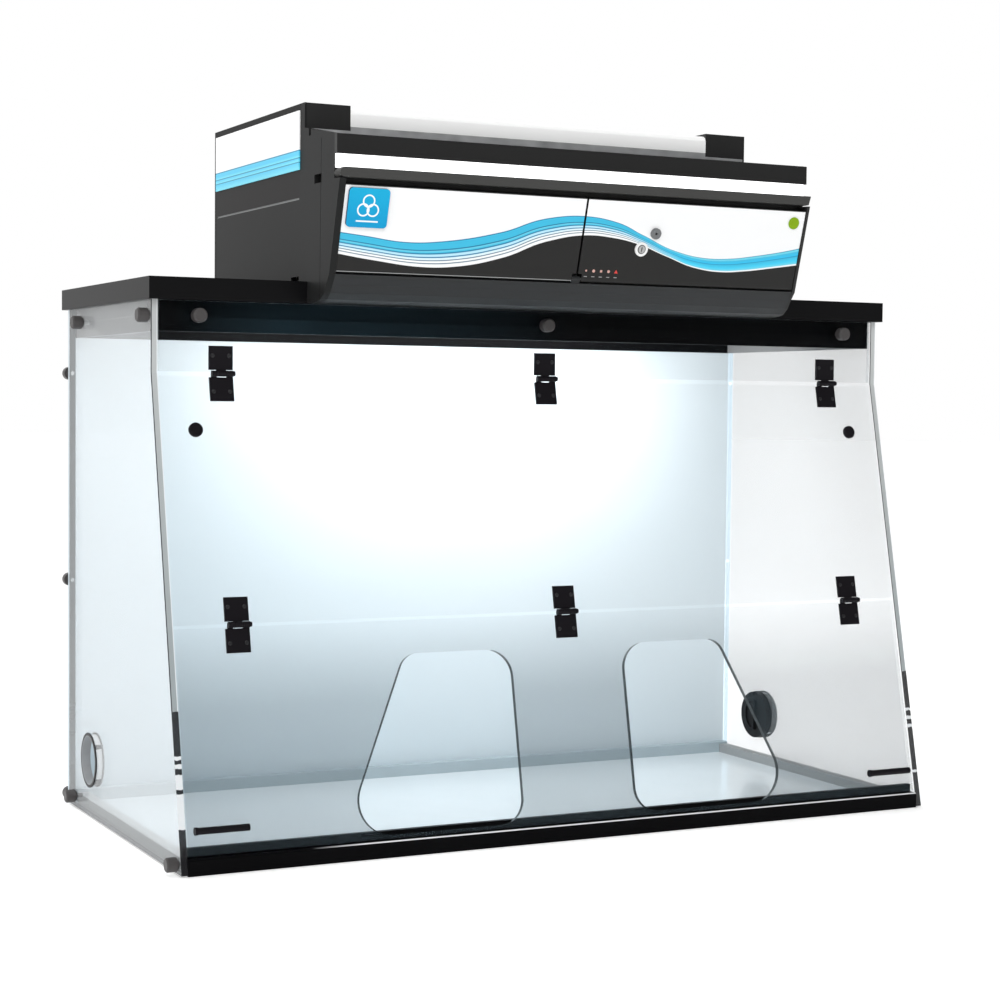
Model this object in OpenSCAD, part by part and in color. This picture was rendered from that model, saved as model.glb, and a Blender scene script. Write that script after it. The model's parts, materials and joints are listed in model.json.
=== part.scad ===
// Benchtop filtering fume hood: clear enclosure, folding front flaps and a filter head.
// Millimetres. X to the right, Y to the back, Z up. Z = 0 is the bench.

/* [Enclosure] */
// Width over the two side panels
width = 1280; // [1180:10:1400]
// Front face of the base rail, measured forward of the origin
front_reach = 294; // [284:2:304]
// Rear face of the side panels, measured behind the origin
rear_reach = 294; // [284:2:304]
// Front edge of the top plate, measured forward of the origin
plate_reach = 158; // [150:2:166]
// How far the top plate stands past the side panels at the back
plate_overhang = 25; // [22:1:40]
// Height of the underside of the top plate
plate_height = 802; // [780:2:820]
// Thickness of the top plate
plate_thickness = 32; // [24:1:40]
// Height at which the side panels start to slope forward
kink_height = 697; // [680:1:705]
// How far the top plate stands over each side panel
side_inset = 6; // [4:1:10]
// Thickness of the side panels
side_thickness = 10; // [8:1:12]
// Thickness of the flaps and of the fixed front strip
flap_thickness = 8; // [6:1:10]
// Height of the header frame under the top plate
header_height = 45; // [35:1:50]

/* [Base] */
// Height of the front ledge
ledge_height = 24; // [18:1:25]
// Height of the upstand behind the flap
upstand_height = 36; // [30:1:40]
// Height of the side rails
side_rail_height = 20; // [14:1:24]
// Thickness of the work surface
work_thickness = 5; // [3:1:8]

/* [Front flaps] */
// Distance from the first hinge line to the second, down the slope
upper_drop = 365; // [340:1:380]
// Distance from the first hinge line to the lower edge, down the slope
total_drop = 684; // [676:1:686]
// Sideways position of the outer hinges
hinge_x = 530; // [440:5:560]
// Width of one hinge
hinge_width = 36; // [30:1:45]
// Height of one hinge leaf
leaf_height = 40; // [28:1:45]
// Distance from a flap face to the hinge axis
axis_offset = 5; // [4.6:0.1:6]
// Knob radius
knob_radius = 10.5; // [8:0.5:13]
// Knob length
knob_length = 18; // [12:1:22]

/* [Side ports] */
// Distance of the port axis behind the origin
port_y = 173; // [120:1:220]
// Height of the port axis
port_z = 90; // [75:1:140]
// Clear radius of the port ring
port_radius = 38; // [28:1:38]

/* [Filter head] */
// Left face of the head, measured left of the origin
head_left = 401; // [390:1:420]
// Right face of the head box, measured right of the origin
head_right = 366; // [350:1:380]
// Height of the top of the head
head_top = 1097; // [1090:1:1110]
// Lean of the filter doors from upright
door_lean = 16.4; // [12:0.1:17]
// Height of a filter door, along its face
door_length = 131; // [120:1:132]
// Width of one filter
filter_width = 358; // [300:2:364]
// Depth of one filter
filter_depth = 380; // [300:5:384]
// Radius of a fan impeller
impeller_radius = 105; // [80:1:110]

/* [Hidden] */

$fn = 48;
plate_half = width / 2;
half = plate_half - side_inset;
inner = half - side_thickness;
plate_top = plate_height + plate_thickness;
plate_rear = rear_reach + plate_overhang;
header_z = plate_height - header_height;
panel_reach = plate_reach - 12;
strip_face = -panel_reach;
axis_y = strip_face - axis_offset;
slope = atan((front_reach - panel_reach) / kink_height);
flap_half = inner - 2;
edge_gap = 2.5;
pin_radius = 2;
pin_gap = 0.05;
knuckle_radius = 4.4;
ring_radius = port_radius + 5;
flange = 2;
door_y = -243;
door_z = 842;
door_thickness = 10;
door_split = 1.8;
cheek_left = -head_left + 10;
cheek_right = head_left - 5;
head_mid = (head_right - head_left) / 2;
filter_shift = 190;
fan_y = 55;
deck_z = 950;
motor_z = 1056;
box_front = -144;
head_rear = 260;

smoke = [0.25, 0.26, 0.27];
black = [0.05, 0.05, 0.06];
clear = [0.85, 0.93, 0.96, 0.3];
pale = [0.82, 0.83, 0.84];
white = [0.93, 0.95, 0.97];
blue = [0.16, 0.65, 0.9];
metal = [0.7, 0.71, 0.72];

// Extrudes a Y-Z outline from x0 to x1
module side_cut(x0, x1, outline) {
    translate([x0, 0, 0])
        rotate([90, 0, 90])
            linear_extrude(x1 - x0)
                polygon(outline);
}

module box(x0, x1, y0, y1, z0, z1) {
    translate([x0, y0, z0])
        cube([x1 - x0, y1 - y0, z1 - z0]);
}

// Cylinder along X between two positions
module rod(x0, x1, y, z, r) {
    translate([x0, y, z])
        rotate([0, 90, 0])
            cylinder(h = x1 - x0, r = r);
}

// Frame of the sloping front: origin on the first hinge axis, -Z down the slope
module on_slope(drop = 0) {
    translate([0, axis_y, kink_height])
        rotate([-slope, 0, 0])
            translate([0, 0, -drop])
                children();
}

// Frame of the leaning doors: origin on the lower outer edge, Z up the door
module on_door() {
    translate([0, door_y, door_z])
        rotate([door_lean, 0, 0])
            children();
}

function unit(v) = v / norm(v);

// Centre of the rounding circle at corner b between a and c
function round_centre(a, b, c, r) =
    let (u = unit(a - b), v = unit(c - b), h = acos(u * v) / 2)
    b + unit(u + v) * r / sin(h);

// Tangent point on the side from b towards a
function tangent(a, b, c, r) =
    let (u = unit(a - b), v = unit(c - b), h = acos(u * v) / 2)
    b + u * r / tan(h);

// Points along the rounding of corner b between a and c
function corner_arc(a, b, c, r, steps = 14) =
    let (m = round_centre(a, b, c, r),
        p = tangent(a, b, c, r) - m,
        q = tangent(c, b, a, r) - m,
        from = atan2(p[1], p[0]),
        turn = atan2(q[1], q[0]) - from,
        sweep = turn > 180 ? turn - 360 : turn < -180 ? turn + 360 : turn)
    [for (i = [0:steps]) m + r * [cos(from + sweep * i / steps), sin(from + sweep * i / steps)]];

// Convex outline with one rounding radius per corner
module rounded_outline(pts, radii) {
    n = len(pts);
    polygon([for (i = [0:n - 1])
        each corner_arc(pts[(i + n - 1) % n], pts[i], pts[(i + 1) % n], radii[i])]);
}

// Thumb knob on a face, pointing along +Z, with its screw going into the face
module knob(screw = 7, long = knob_length) {
    translate([0, 0, -screw])
        cylinder(h = screw + 1, r = 3);
    cylinder(h = 3, r = knob_radius - 3);
    translate([0, 0, 3])
        cylinder(h = long - 5, r = knob_radius);
    translate([0, 0, long - 2])
        cylinder(h = 2, r1 = knob_radius, r2 = knob_radius - 2);
}

// ---- Base ----

module base_front_rail() {
    f = -front_reach;
    color(black)
        side_cut(-inner, inner, [[f, 0], [f, ledge_height - 3], [f + 3, ledge_height],
            [f + 16, ledge_height], [f + 16, 0], [f + 12, 0], [f + 12, ledge_height - 5],
            [f + 4, ledge_height - 5], [f + 4, 0]]);
    // Stop strip behind the ledge, a separate bar the flap's foot closes against
    color(black)
        side_cut(-inner, inner, [[f + 17, 0], [f + 17, upstand_height - 1],
            [f + 18, upstand_height], [f + 26, upstand_height], [f + 26, 0]]);
}

module base_rear_rail() {
    color(smoke)
        difference() {
            box(-inner, inner, rear_reach - 16, rear_reach, 0, ledge_height);
            box(-inner + 20, inner - 20, rear_reach - 12, rear_reach - 4, -1, ledge_height - 5);
        }
}

module side_rail(s) {
    color(smoke)
        difference() {
            box(min(s * inner, s * (inner - 18)), max(s * inner, s * (inner - 18)),
                -front_reach + 26, rear_reach - 16, 0, side_rail_height);
            box(min(s * (inner - 4), s * (inner - 14)), max(s * (inner - 4), s * (inner - 14)),
                -front_reach + 48, rear_reach - 70, -1, side_rail_height - 5);
        }
}

module base_left_rail() {
    side_rail(-1);
}

module base_right_rail() {
    side_rail(1);
}

module work_surface() {
    color(white)
        box(-inner + 18, inner - 18, -front_reach + 26, rear_reach - 16, 0, work_thickness);
}

// ---- Clear enclosure ----

side_knob_spots = [[215, 779], [-136, 779], [252, 20], [-278, 16]];

module side_panel(s) {
    x0 = s > 0 ? inner : -half;
    color(clear)
        difference() {
            side_cut(x0, x0 + side_thickness, [[-front_reach, 2], [rear_reach, 2],
                [rear_reach, plate_height], [-panel_reach, plate_height],
                [-panel_reach, kink_height]]);
            rod(x0 - 1, x0 + side_thickness + 1, port_y, port_z, ring_radius - 3);
            if (s < 0)
                for (p = side_knob_spots)
                    rod(x0 - 1, x0 + side_thickness + 1, p[0], p[1], 3.2);
        }
}

module left_side_panel() {
    side_panel(-1);
}

module right_side_panel() {
    side_panel(1);
}

back_knob_heights = [700, 365, 14];
back_knob_x = half - side_thickness / 2;

module back_panel() {
    color(white)
        difference() {
            box(-half, half, rear_reach, rear_reach + 8, 2, plate_height);
            for (s = [-1, 1], z = back_knob_heights)
                translate([s * back_knob_x, rear_reach, z])
                    rotate([90, 0, 0])
                        cylinder(h = 30, r = 3.2, center = true);
        }
}

module top_plate() {
    color(black)
        difference() {
            box(-plate_half, plate_half, -plate_reach, plate_rear, plate_height, plate_top);
            for (s = [-1, 1])
                box(head_mid + s * filter_shift - 165, head_mid + s * filter_shift + 165,
                    -115, 205, plate_height - 1, plate_top + 1);
        }
}

module header_front() {
    y = strip_face + flap_thickness;
    color(black)
        difference() {
            box(-inner, inner, y, y + 6, header_z, plate_height);
            for (x = [-565, 0, 560])
                translate([x, y, plate_height - 22])
                    rotate([90, 0, 0])
                        cylinder(h = 30, r = 3.2, center = true);
        }
}

module header_rear() {
    color(smoke)
        box(-inner, inner, rear_reach - 6, rear_reach, header_z, plate_height);
}

module header_side(s) {
    y = strip_face + flap_thickness + 6;
    color(pale)
        difference() {
            box(min(s * inner, s * (inner - 6)), max(s * inner, s * (inner - 6)),
                y, rear_reach - 6, header_z, plate_height);
            for (p = side_knob_spots)
                if (s < 0 && p[0] > 0 && p[1] > header_z)
                    rod(min(s * inner, s * (inner - 8)) - 1, max(s * inner, s * (inner - 8)) + 1,
                        p[0], p[1], 3.2);
        }
}

module header_left() {
    header_side(-1);
}

module header_right() {
    header_side(1);
}

module front_top_strip() {
    color(clear)
        difference() {
            box(-flap_half, flap_half, strip_face, strip_face + flap_thickness,
                kink_height + edge_gap, plate_height - 1);
            for (x = [-565, 0, 560])
                translate([x, strip_face, plate_height - 22])
                    rotate([90, 0, 0])
                        cylinder(h = 30, r = 3.2, center = true);
        }
}

module chamber_light() {
    color([1, 1, 0.95])
        box(-300, 300, -122, -118.5, plate_height - 14, plate_height - 1);
    color(white)
        box(-305, 305, -118.4, -116.4, plate_height - 18, plate_height);
}

// ---- Hinges ----

hinge_spots = [-hinge_x, 0, hinge_x];
leaf_face = axis_offset - 3.2;
knuckle_from = -hinge_width / 2 + 3.5;
knuckle_to = hinge_width / 2;

// Upper leaf with the middle knuckle, axis on X through the origin
module upper_leaf() {
    difference() {
        union() {
            box(-hinge_width / 2, hinge_width / 2, leaf_face, axis_offset, 5.2, leaf_height);
            box(-6, 8, leaf_face, axis_offset, 0, 5.4);
            rod(-6, 8, 0, 0, knuckle_radius);
        }
        rod(-7, 9, 0, 0, pin_radius + pin_gap);
    }
}

// Lower leaf with the two outer knuckles
module lower_leaf() {
    difference() {
        union() {
            box(-hinge_width / 2, hinge_width / 2, leaf_face, axis_offset, -leaf_height, -5.2);
            box(knuckle_from, -6.6, leaf_face, axis_offset, -5.4, 0);
            rod(knuckle_from, -6.6, 0, 0, knuckle_radius);
            box(8.6, knuckle_to, leaf_face, axis_offset, -5.4, 0);
            rod(8.6, knuckle_to, 0, 0, knuckle_radius);
        }
        rod(knuckle_from - 1, knuckle_to + 1, 0, 0, pin_radius + pin_gap);
    }
}

module hinge_pin() {
    rod(knuckle_from, knuckle_to + 1, 0, 0, pin_radius);
    rod(knuckle_to + 0.6, knuckle_to + 2.6, 0, 0, 3.6);
}

module strip_hinge_leaves() {
    color(black)
        for (x = hinge_spots)
            translate([x, axis_y, kink_height])
                upper_leaf();
}

module strip_hinge_pins() {
    color(black)
        for (x = hinge_spots)
            translate([x, axis_y, kink_height])
                hinge_pin();
}

// ---- Front flaps ----

flap_knob_spots = [-574, 567];
flap_knob_drop = 83;

module upper_flap() {
    color(clear)
        difference() {
            on_slope()
                box(-flap_half, flap_half, axis_offset, axis_offset + flap_thickness,
                    -upper_drop + edge_gap, -edge_gap);
            for (x = flap_knob_spots)
                on_slope(flap_knob_drop)
                    translate([x, axis_offset, 0])
                        rotate([90, 0, 0])
                            cylinder(h = 40, r = 3.2, center = true);
        }
}

module upper_flap_leaves() {
    color(black)
        for (x = hinge_spots) {
            on_slope()
                translate([x, 0, 0])
                    lower_leaf();
            on_slope(upper_drop)
                translate([x, 0, 0])
                    upper_leaf();
        }
}

module flap_hinge_pins() {
    color(black)
        for (x = hinge_spots)
            on_slope(upper_drop)
                translate([x, 0, 0])
                    hinge_pin();
}

module flap_knobs() {
    color(black)
        for (x = flap_knob_spots)
            on_slope(flap_knob_drop)
                translate([x, axis_offset, 0])
                    rotate([90, 0, 0])
                        knob(long = 9);
}

// Outline of the right hand opening, across the flap and down the slope
opening_corners = [[97, -417], [97, -679], [389, -679], [272, -417]];
opening_radii = [42, 38, 50, 32];

module lower_flap() {
    color(clear)
        on_slope()
            difference() {
                box(-flap_half, flap_half, axis_offset, axis_offset + flap_thickness,
                    -total_drop, -upper_drop - edge_gap);
                for (s = [0, 1])
                    mirror([s, 0, 0])
                        translate([0, axis_offset + flap_thickness + 1, 0])
                            rotate([90, 0, 0])
                                linear_extrude(flap_thickness + 2)
                                    rounded_outline(opening_corners, opening_radii);
            }
}

module lower_flap_leaves() {
    color(black)
        for (x = hinge_spots)
            on_slope(upper_drop)
                translate([x, 0, 0])
                    lower_leaf();
}

module finger_grips() {
    color(black)
        for (x = [-571, 575])
            on_slope(650)
                translate([x, axis_offset, 0]) {
                    box(-38, 38, -2, 0, -5, 5);
                    rod(-38, 38, -6, 0, 5);
                    rod(-42, -38, -6, 0, 5.8);
                }
}

// ---- Knobs and ports ----

module side_knobs() {
    color(smoke)
        for (p = side_knob_spots)
            translate([-half, p[0], p[1]])
                rotate([0, -90, 0])
                    knob(p[1] > header_z && p[0] > 0 ? 14 : 9);
}

module back_knobs() {
    color(smoke)
        for (s = [-1, 1], z = back_knob_heights)
            translate([s * back_knob_x, rear_reach + 8, z])
                rotate([-90, 0, 0])
                    knob();
}

module header_knobs() {
    color(smoke)
        for (x = [-565, 0, 560])
            translate([x, strip_face, plate_height - 22])
                rotate([90, 0, 0])
                    knob(12);
}

module port_ring() {
    rotate([0, 90, 0])
        difference() {
            union() {
                translate([0, 0, -flange])
                    cylinder(h = flange, r = ring_radius);
                cylinder(h = side_thickness + flange, r = ring_radius - 3.3);
                translate([0, 0, side_thickness])
                    cylinder(h = flange, r = ring_radius);
            }
            translate([0, 0, -4])
                cylinder(h = side_thickness + 10, r = port_radius);
        }
}

module port_rings() {
    color(black) {
        translate([-half, port_y, port_z])
            port_ring();
        translate([half, port_y, port_z])
            rotate([0, 0, 180])
                port_ring();
    }
}

module right_port_cap() {
    x = inner - flange;
    color(smoke)
        difference() {
            union() {
                rod(x - 9, x - 0.5, port_y, port_z, ring_radius - 1);
                rod(x - 0.6, x + 12, port_y, port_z, port_radius - 0.5);
            }
            rod(x - 4, x + 13, port_y, port_z, port_radius - 4);
            rod(x - 10, x - 6, port_y, port_z, port_radius - 10);
            box(x - 10, x - 3, port_y - 5, port_y + 5, port_z + ring_radius - 8,
                port_z + ring_radius + 2);
        }
    color(smoke)
        box(x - 12, x - 4, port_y - 3, port_y + 3, port_z - port_radius + 11,
            port_z + port_radius - 11);
}

// ---- Filter head: housing ----

function cheek_outline(top) = [[box_front, top], [-262.3, 1039.5], [-262.3, 975.4],
    [-283, 974.4], [-244, 840],
    [-234, 828], [-225, 815], [-213, 806], [-199, 802.5], [-184, plate_height],
    [-plate_reach - 0.3, plate_height], [-plate_reach - 0.3, plate_top], [box_front, plate_top]];

module head_left_plate() {
    color(smoke)
        difference() {
            union() {
                side_cut(-head_left, cheek_left, cheek_outline(1060));
                box(-head_left, -head_left + 3, box_front - 1, head_rear, plate_top, head_top);
            }
            box(-head_left - 1, -head_left + 1, -124, 246, 956.5, 958.5);
            box(-head_left - 1, -head_left + 9, -213, -185, 974, 987);
            box(-head_left - 1, cheek_left + 1, -170, -162, 1046, 1070);
            box(-head_left - 1, cheek_left + 1, -124, -92, plate_top - 1, plate_top + 9);
            translate([-head_left - 1, -209, 806])
                rotate([0.8, 0, 0])
                    cube([1.6, 1.2, 232]);
            rod(cheek_left - 6, cheek_left + 1, hinge_line[0], hinge_line[1], 3);
        }
}

module head_right_plate() {
    color(smoke)
        box(head_right - 3, head_right, box_front, head_rear, plate_top, head_top);
}

module right_cheek() {
    color(smoke)
        difference() {
            union() {
                side_cut(cheek_right, head_left, cheek_outline(1055.8));
                box(head_right, cheek_right + 1, -200, box_front, plate_top + 0.5, 1034);
            }
            box(head_right + 4, cheek_right - 4, -201, box_front - 4, plate_top + 4, 1030);
            rod(cheek_right - 1, cheek_right + 3, hinge_line[0], hinge_line[1], 3);
        }
}

module head_back_plate() {
    color(smoke)
        difference() {
            box(-head_left + 3, head_right - 3, head_rear - 3, head_rear, plate_top, head_top);
            for (s = [-1, 1], i = [-6:6])
                box(head_mid + s * filter_shift + i * 22 - 5, head_mid + s * filter_shift + i * 22 + 5,
                    head_rear - 4, head_rear + 1, 968, 1044);
            box(-321, -279, head_rear - 4, head_rear + 1, 856, 888);
        }
}

module end_block(x0, x1) {
    color(smoke)
        difference() {
            box(x0, x1, box_front, head_rear - 3, motor_z + 4, head_top);
            box(x0 + 3, x1 - 3, box_front + 3, head_rear, motor_z + 3, head_top - 3);
        }
}

module left_end_block() {
    end_block(-head_left + 3, -328);
}

module right_end_block() {
    end_block(292, head_right - 3);
}

module head_top_cover() {
    f = box_front;
    z = head_top - 4;
    color(pale)
        side_cut(-328, 292, [[f, z - 27], [f, z - 8], [f + 2, z - 3], [f + 7, z],
            [head_rear - 3, z], [head_rear - 3, z - 3], [f + 8, z - 3], [f + 5, z - 5],
            [f + 3, z - 9], [f + 3, z - 27]]);
}

module motor_deck() {
    color(metal) {
        difference() {
            box(-head_left + 3, head_right - 3, box_front, head_rear - 3, motor_z, motor_z + 4);
            for (s = [-1, 1])
                translate([head_mid + s * filter_shift, fan_y, motor_z - 1])
                    cylinder(h = 6, r = 12);
        }
        box(-327.7, 291.7, box_front, box_front + 3, motor_z + 3.9, head_top - 31.2);
    }
}

module head_band() {
    color(black)
        side_cut(cheek_left, cheek_right, [[-272, 1010], [-272, 1038], [box_front, 1055.8],
            [box_front, 1052], [-260, 1035.6], [-268, 1034], [-268, 1014], [-258.5, 1014],
            [-258.5, 950], [-261.5, 950], [-261.5, 1010]]);
    color(black)
        for (x = [-head_left, cheek_right])
            side_cut(x, x + (x < 0 ? 10 : 5), [[-272, 1010], [-272, 1038], [-262.3, 1039.6],
                [-262.3, 1010]]);
}

module light_diffuser() {
    color([1, 1, 1])
        box(-head_left + 0.5, head_left - 4, -270, -264, 990.2, 1009.8);
}

module light_board() {
    color([0.9, 0.9, 0.85])
        box(cheek_left + 6, cheek_right - 6, -263.8, -261.7, 993, 1007);
}

module visor() {
    color(smoke)
        translate([0, -262.3, 0])
            rotate([90, 0, 0])
                linear_extrude(22.7) {
                    polygon([[-head_left + 7, 976], [head_left - 4, 976], [head_left, 990],
                        [-head_left + 7, 990]]);
                    translate([-head_left + 7, 983])
                        circle(r = 7);
                }
}

module chin_fascia() {
    p = -plate_reach - 0.3;
    color(smoke) {
        side_cut(cheek_left, cheek_right, [[-243, 840.9], [-234, 827], [-225, 815],
            [-213, 806], [-199, 802.5], [-184, plate_height], [p, plate_height],
            [p, plate_height + 4], [-184, plate_height + 4], [-198, 806.5], [-210.5, 809.5],
            [-221.5, 818], [-230, 829.5], [p, 829.5], [p, 833], [-232, 833], [-235.5, 843.1]]);
        // Middle bearing that carries both doors
        difference() {
            union() {
                on_door()
                    rod(-5.2, 8.8, 5, 5, 4.6);
                on_door()
                    box(-5.2, 8.8, 1.5, 8.5, -6.5, 5);
            }
            on_door()
                rod(-6, 10, 5, 5, 3);
        }
    }
}

module control_board() {
    color([0.1, 0.4, 0.25])
        difference() {
            box(-200, -80, -254, -252.4, 960, 1008);
            for (x = [-195, -85], z = [965, 1003])
                translate([x, -250, z])
                    rotate([90, 0, 0])
                        cylinder(h = 6, r = 1.6);
        }
    color(black) {
        box(-180, -160, -252.4, -249.4, 975, 995);
        box(-145, -115, -252.4, -244.4, 968, 980);
        for (x = [-195, -85], z = [965, 1003])
            translate([x, -252.6, z])
                rotate([90, 0, 0])
                    cylinder(h = 5.9, r = 1.5);
    }
}

module side_decal_panel() {
    color(white)
        box(-head_left - 2, -head_left, -127, 250, 1000, 1087);
}

// ---- Filter doors ----

hinge_line = [door_y + 5 * cos(door_lean) - 5 * sin(door_lean),
    door_z + 5 * sin(door_lean) + 5 * cos(door_lean)];

module door_hinge_pins() {
    color(metal) {
        rod(cheek_left - 5.9, cheek_left + 14, hinge_line[0], hinge_line[1], 2.95);
        rod(-18, 22, hinge_line[0], hinge_line[1], 2.95);
        rod(cheek_right - 14, cheek_right + 2.9, hinge_line[0], hinge_line[1], 2.95);
    }
}

// One door between two X positions, with its notch at the seam side
module door(x0, x1, seam) {
    difference() {
        on_door() {
            box(x0, x1, 0, door_thickness, 5, door_length - 1);
            rod(x0, x1, 5, 5, 5);
        }
        on_door()
            rod(x0 - 1, x1 + 1, 5, 5, 3);
        on_door()
            box(seam - 8.5, seam + 8.5, -1, door_thickness + 1, -1, 14);
        on_door()
            box(x0 + 14, x1 - 14, 3, door_thickness + 1, 18, door_length - 12);
    }
}

module left_door() {
    color(white)
        door(cheek_left + 0.8, door_split - 1.7, door_split);
}

module right_door() {
    color(white)
        difference() {
            door(door_split + 1.7, cheek_right - 0.8, door_split);
            on_door()
                translate([106, 0, 56.7])
                    rotate([90, 0, 0])
                        cylinder(h = 30, r = 9.1, center = true);
            on_door()
                translate([127, 0, 82])
                    rotate([90, 0, 0])
                        cylinder(h = 30, r = 4.1, center = true);
        }
}

module badge() {
    color(blue)
        on_door()
            rotate([90, 0, 0])
                linear_extrude(4)
                    rounded_outline([[-385, 69], [-322, 69], [-322, 126], [-385, 126]],
                        [6, 6, 6, 6]);
}

module lock_body() {
    color(metal)
        on_door()
            translate([106, 0, 56.7])
                rotate([90, 0, 0])
                    difference() {
                        union() {
                            cylinder(h = 2.5, r = 11);
                            translate([0, 0, -20])
                                cylinder(h = 21, r = 9);
                        }
                        translate([0, 0, -21])
                            cylinder(h = 25, r = 6.05);
                    }
}

module lock_cylinder() {
    color(metal)
        on_door()
            translate([106, 0, 56.7])
                rotate([90, 0, 0])
                    difference() {
                        union() {
                            translate([0, 0, -24])
                                cylinder(h = 27, r = 6);
                            translate([-5, -5, -23])
                                cube([26, 10, 2.4]);
                        }
                        translate([-0.9, -3.6, -6])
                            cube([1.8, 7.2, 12]);
                    }
}

module sampling_port() {
    color(pale)
        on_door()
            translate([127, 0, 82])
                rotate([90, 0, 0])
                    difference() {
                        union() {
                            cylinder(h = 4, r = 8.5);
                            translate([0, 0, -12])
                                cylinder(h = 13, r = 4);
                        }
                        translate([0, 0, -13])
                            cylinder(h = 18, r = 2);
                    }
}

module status_button() {
    color([0.55, 0.75, 0])
        on_door()
            translate([376, 0, 110])
                rotate([90, 0, 0])
                    cylinder(h = 1.6, r = 9.5);
}

// ---- Filters and fans ----

module prefilters() {
    color([0.9, 0.9, 0.86])
        for (s = [-1, 1])
            box(head_mid + s * filter_shift - filter_width / 2 + 2,
                head_mid + s * filter_shift + filter_width / 2 - 2,
                -148, 228, plate_top, plate_top + 10);
}

// Casing with an open grid of carbon cells
module filter_unit(x) {
    w = filter_width / 2;
    z = plate_top + 10.2;
    color(white)
        difference() {
            box(x - w, x + w, -150, -150 + filter_depth, z, deck_z - 4);
            for (i = [0:3], j = [0:3])
                box(x - w + 14 + i * (2 * w - 28) / 4 + 3, x - w + 14 + (i + 1) * (2 * w - 28) / 4 - 3,
                    -136 + j * (filter_depth - 28) / 4 + 3, -136 + (j + 1) * (filter_depth - 28) / 4 - 3,
                    z + 70, deck_z);
            box(x - 45, x + 45, -151, -140, z + 30, z + 52);
        }
}

module left_filter() {
    filter_unit(head_mid - filter_shift);
}

module right_filter() {
    filter_unit(head_mid + filter_shift);
}

module fan_deck() {
    color(metal)
        difference() {
            box(-head_left + 3, head_right - 3, box_front, head_rear - 3, deck_z, deck_z + 4);
            for (s = [-1, 1])
                translate([head_mid + s * filter_shift, fan_y, deck_z - 1])
                    cylinder(h = 6, r = impeller_radius - 27);
        }
}

module fan_motors() {
    color(black)
        for (s = [-1, 1])
            translate([head_mid + s * filter_shift, fan_y, 0]) {
                translate([0, 0, motor_z - 30])
                    cylinder(h = 30, r = 48);
                translate([0, 0, 966])
                    cylinder(h = 62, r = 5);
            }
}

module impeller(x) {
    color(smoke)
        translate([x, fan_y, 0])
            difference() {
                union() {
                    translate([0, 0, 970])
                        cylinder(h = 48, r = 20);
                    translate([0, 0, 1015])
                        cylinder(h = 3, r = impeller_radius);
                    for (a = [0:40:320])
                        rotate([0, 0, a])
                            translate([62, 0, 970])
                                rotate([0, 0, 38])
                                    translate([-14, -1.2, 0])
                                        cube([58, 2.4, 46]);
                    difference() {
                        translate([0, 0, 968])
                            cylinder(h = 3, r = impeller_radius);
                        translate([0, 0, 967])
                            cylinder(h = 5, r = impeller_radius - 30);
                    }
                }
                translate([0, 0, 960])
                    cylinder(h = 70, r = 5 + pin_gap);
            }
}

module left_impeller() {
    impeller(head_mid - filter_shift);
}

module right_impeller() {
    impeller(head_mid + filter_shift);
}

module power_inlet() {
    color(black)
        difference() {
            union() {
                box(-325, -275, head_rear, head_rear + 3, 852, 892);
                box(-320.8, -279.2, head_rear - 22, head_rear + 1, 856.2, 887.8);
            }
            box(-314, -286, head_rear - 16, head_rear + 4, 861, 883);
        }
    color(metal)
        for (x = [-307, -300, -293])
            box(x - 1, x + 1, head_rear - 16.5, head_rear - 2, x == -300 ? 874 : 867,
                x == -300 ? 879 : 872);
}

base_front_rail();
base_rear_rail();
base_left_rail();
base_right_rail();
work_surface();
left_side_panel();
right_side_panel();
back_panel();
top_plate();
header_front();
header_rear();
header_left();
header_right();
front_top_strip();
strip_hinge_leaves();
strip_hinge_pins();
side_knobs();
back_knobs();
header_knobs();
port_rings();
right_port_cap();
chamber_light();
upper_flap();
upper_flap_leaves();
flap_hinge_pins();
flap_knobs();
lower_flap();
lower_flap_leaves();
finger_grips();
head_left_plate();
head_right_plate();
head_back_plate();
head_top_cover();
left_end_block();
right_end_block();
head_band();
light_diffuser();
light_board();
visor();
right_cheek();
chin_fascia();
control_board();
side_decal_panel();
door_hinge_pins();
left_door();
right_door();
badge();
lock_body();
lock_cylinder();
sampling_port();
status_button();
prefilters();
left_filter();
right_filter();
fan_deck();
motor_deck();
fan_motors();
left_impeller();
right_impeller();
power_inlet();
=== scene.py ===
import json
import math
import bmesh
import bpy
from mathutils import Matrix, Vector


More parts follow.
